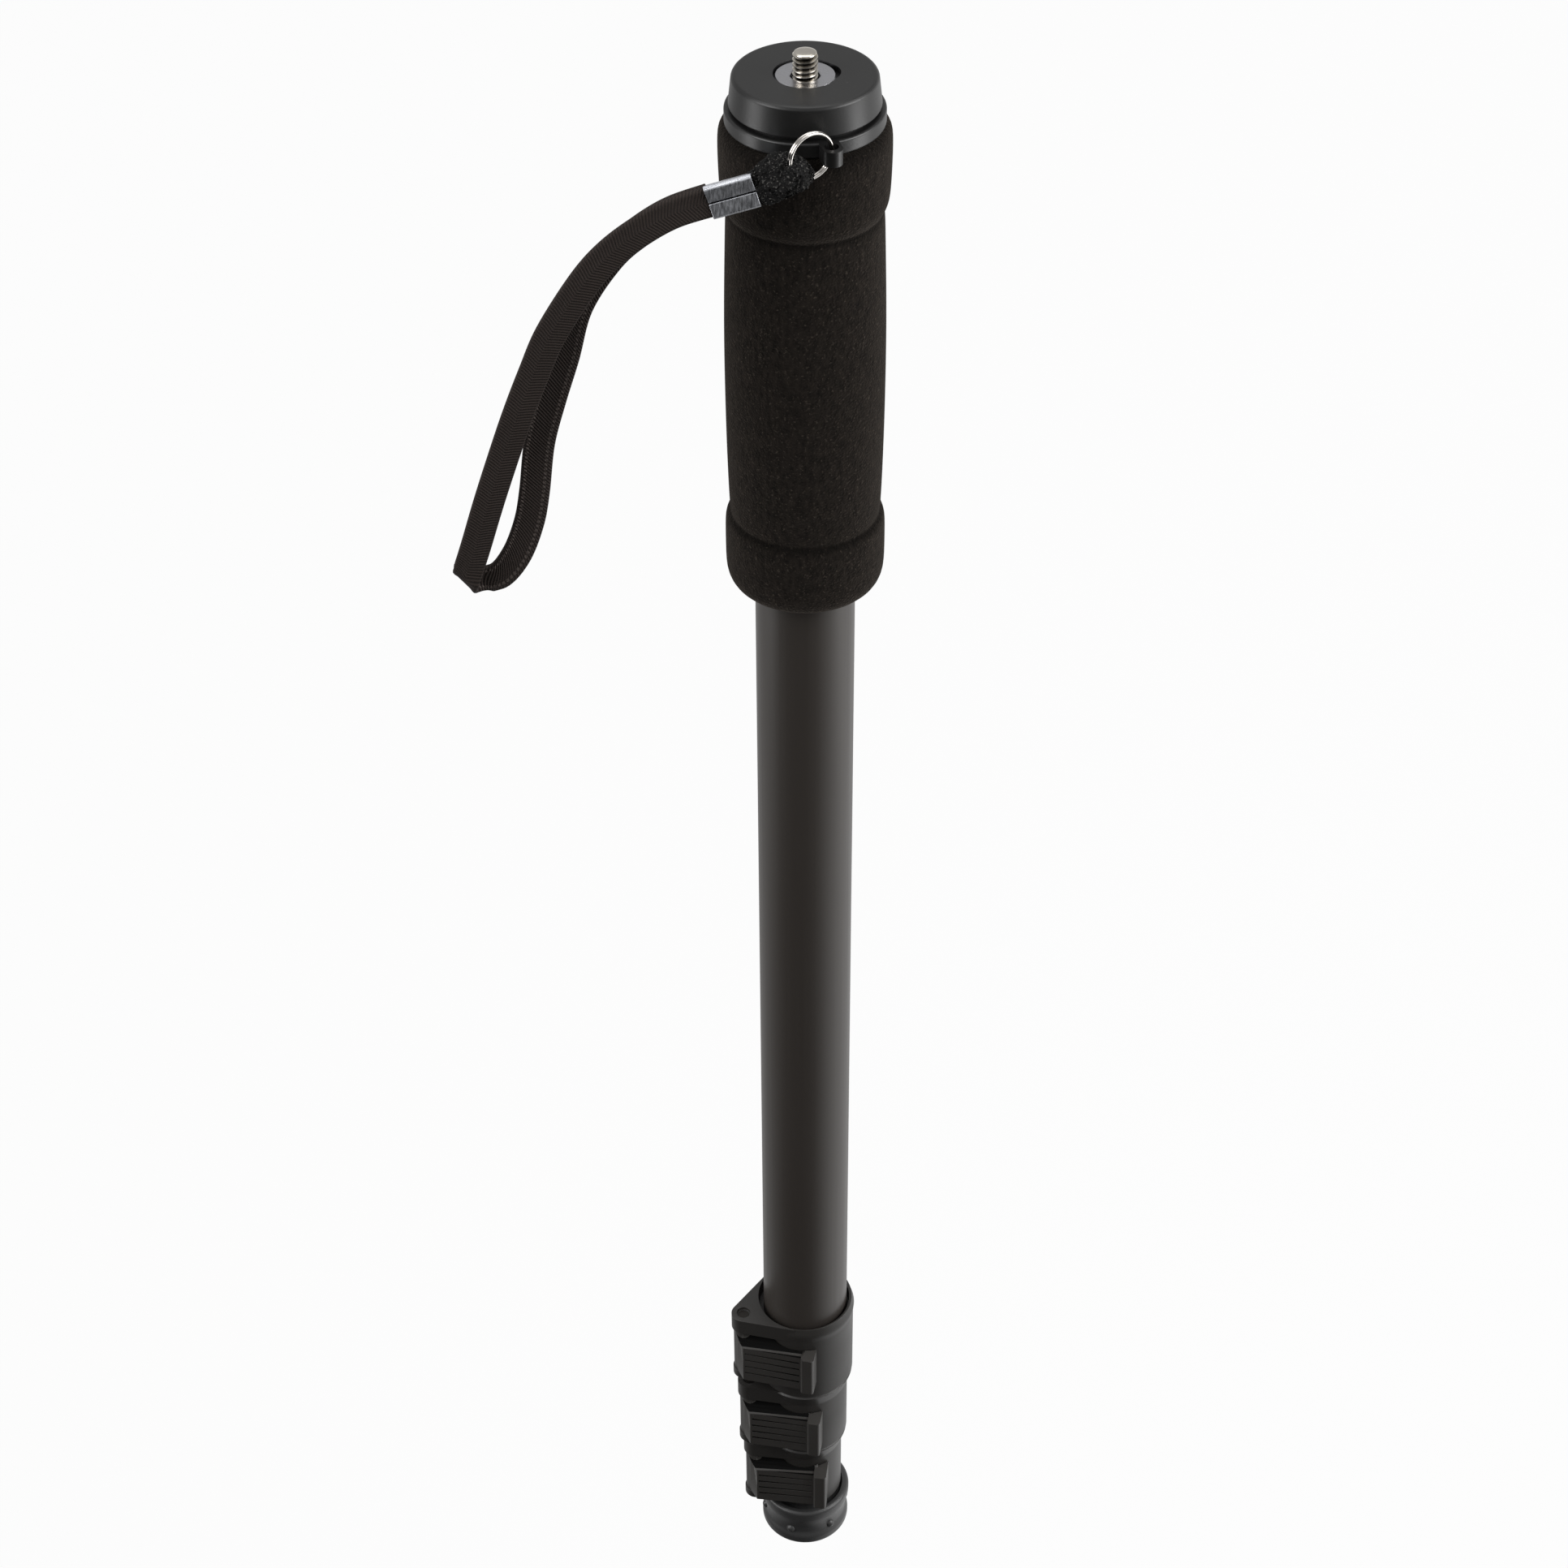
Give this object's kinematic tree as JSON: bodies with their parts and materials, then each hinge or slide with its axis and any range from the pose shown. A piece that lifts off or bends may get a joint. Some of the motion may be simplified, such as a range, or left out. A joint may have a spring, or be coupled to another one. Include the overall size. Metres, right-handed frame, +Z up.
{
  "type": "camera monopod",
  "caption": "Telescoping camera monopod, collapsed: threaded stud on a round platform, foam grip with wrist strap, flip-lock clamps and a rubber foot.",
  "frame": {"origin": "on the tube axis at the camera platform's top face, where the stud leaves it", "axes": "+Z up along the camera stud and the tubes, -Y to the front where the levers and the strap lug face, +X to the right seen from the front"},
  "size_m": [0.1149, 0.0528, 0.5638],
  "materials": {
    "head_plastic": "satin moulded",
    "bright_steel": "bright nickel",
    "grip_foam": "fine closed-cell foam",
    "tube_anodised": "satin black anodised",
    "clamp_plastic": "satin moulded",
    "inner_plastic": "plain moulded",
    "pin_steel": "plain steel",
    "shoe_brass": "plain brass",
    "foot_rubber": "moulded rubber",
    "strap_webbing": "braided flat cord",
    "ferrule_metal": "bright crimped sheet"
  },
  "bodies": {
    "upper_section": {"camera_platform": "head_plastic", "stud_washer": "bright_steel", "camera_stud": "bright_steel", "head_plug": "inner_plastic", "plug_pins": "pin_steel", "strap_collar": "head_plastic", "foam_grip": "grip_foam", "upper_tube": "tube_anodised", "clamp_collar_1": "clamp_plastic", "lever_pin_1": "pin_steel", "brake_shoe_1": "shoe_brass"},
    "second_section": {"second_tube": "tube_anodised", "guide_bush_2": "inner_plastic", "clamp_collar_2": "clamp_plastic", "lever_pin_2": "pin_steel", "brake_shoe_2": "shoe_brass"},
    "third_section": {"third_tube": "tube_anodised", "guide_bush_3": "inner_plastic", "clamp_collar_3": "clamp_plastic", "lever_pin_3": "pin_steel", "brake_shoe_3": "shoe_brass"},
    "lower_section": {"lower_tube": "tube_anodised", "guide_bush_4": "inner_plastic", "foot_plug": "inner_plastic", "foot_spike": "pin_steel"},
    "lever_1": {"clamp_lever_1": "clamp_plastic"},
    "lever_2": {"clamp_lever_2": "clamp_plastic"},
    "lever_3": {"clamp_lever_3": "clamp_plastic"},
    "foot": {"foot_wheel": "foot_rubber", "foot_nut": "shoe_brass"},
    "strap": {"split_ring": "bright_steel", "strap_tie": "strap_webbing", "strap_ferrule": "ferrule_metal", "wrist_strap": "strap_webbing"}
  },
  "joints": [
    {"name": "second_slide", "type": "slide", "parent": "upper_section", "child": "second_section", "axis": [0, 0, -1], "range_m": [0, 0.38]},
    {"name": "third_slide", "type": "slide", "parent": "second_section", "child": "third_section", "axis": [0, 0, -1], "range_m": [0, 0.38]},
    {"name": "lower_slide", "type": "slide", "parent": "third_section", "child": "lower_section", "axis": [0, 0, -1], "range_m": [0, 0.38]},
    {"name": "lever_1_hinge", "type": "hinge", "parent": "upper_section", "child": "lever_1", "pos_m": [-0.02035, -0.00769, -0.46], "axis": [0, 0, -1], "range_deg": [0, 115]},
    {"name": "lever_2_hinge", "type": "hinge", "parent": "second_section", "child": "lever_2", "pos_m": [-0.01871, -0.00707, -0.49], "axis": [0, 0, -1], "range_deg": [0, 115]},
    {"name": "lever_3_hinge", "type": "hinge", "parent": "third_section", "child": "lever_3", "pos_m": [-0.01707, -0.00645, -0.52], "axis": [0, 0, -1], "range_deg": [0, 115]},
    {"name": "foot_turn", "type": "hinge", "parent": "lower_section", "child": "foot", "pos_m": [0, 0, -0.55], "axis": [0, 0, 1], "continuous": true},
    {"name": "strap_swing", "type": "hinge", "parent": "upper_section", "child": "strap", "pos_m": [0.00642, -0.02125, -0.0107], "axis": [0, 0, 1], "range_deg": [0, 140]}
  ]
}
